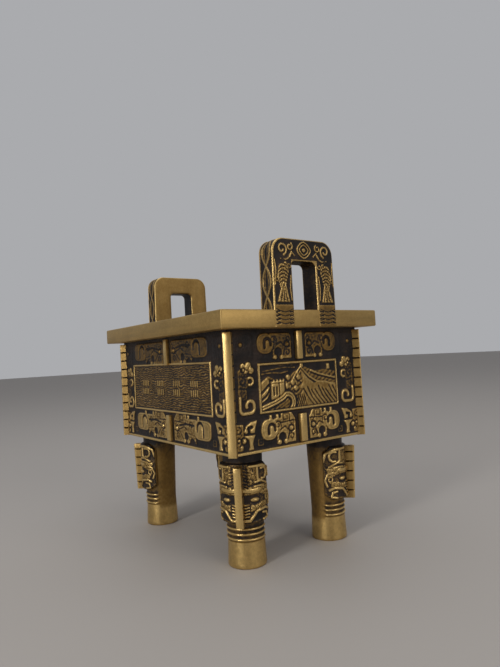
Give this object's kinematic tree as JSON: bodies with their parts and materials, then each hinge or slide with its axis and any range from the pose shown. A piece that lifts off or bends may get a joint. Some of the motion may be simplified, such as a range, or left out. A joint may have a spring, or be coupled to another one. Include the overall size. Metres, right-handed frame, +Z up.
{
  "type": "square ding ornament",
  "caption": "Square four-legged ding vessel in cast brass: hollow box with carved walls, wide flat rim, two upright ears, round legs with beast masks.",
  "frame": {"origin": "on the floor under the middle of the box, between the four feet", "axes": "+Z up; +X along the long walls, towards an ear; +Y across the short way"},
  "size_m": [0.1514, 0.109, 0.17],
  "materials": {
    "aged_brass": "antique satin, dark patina in the recesses"
  },
  "bodies": {
    "root": {"ding": "aged_brass"}
  },
  "joints": []
}
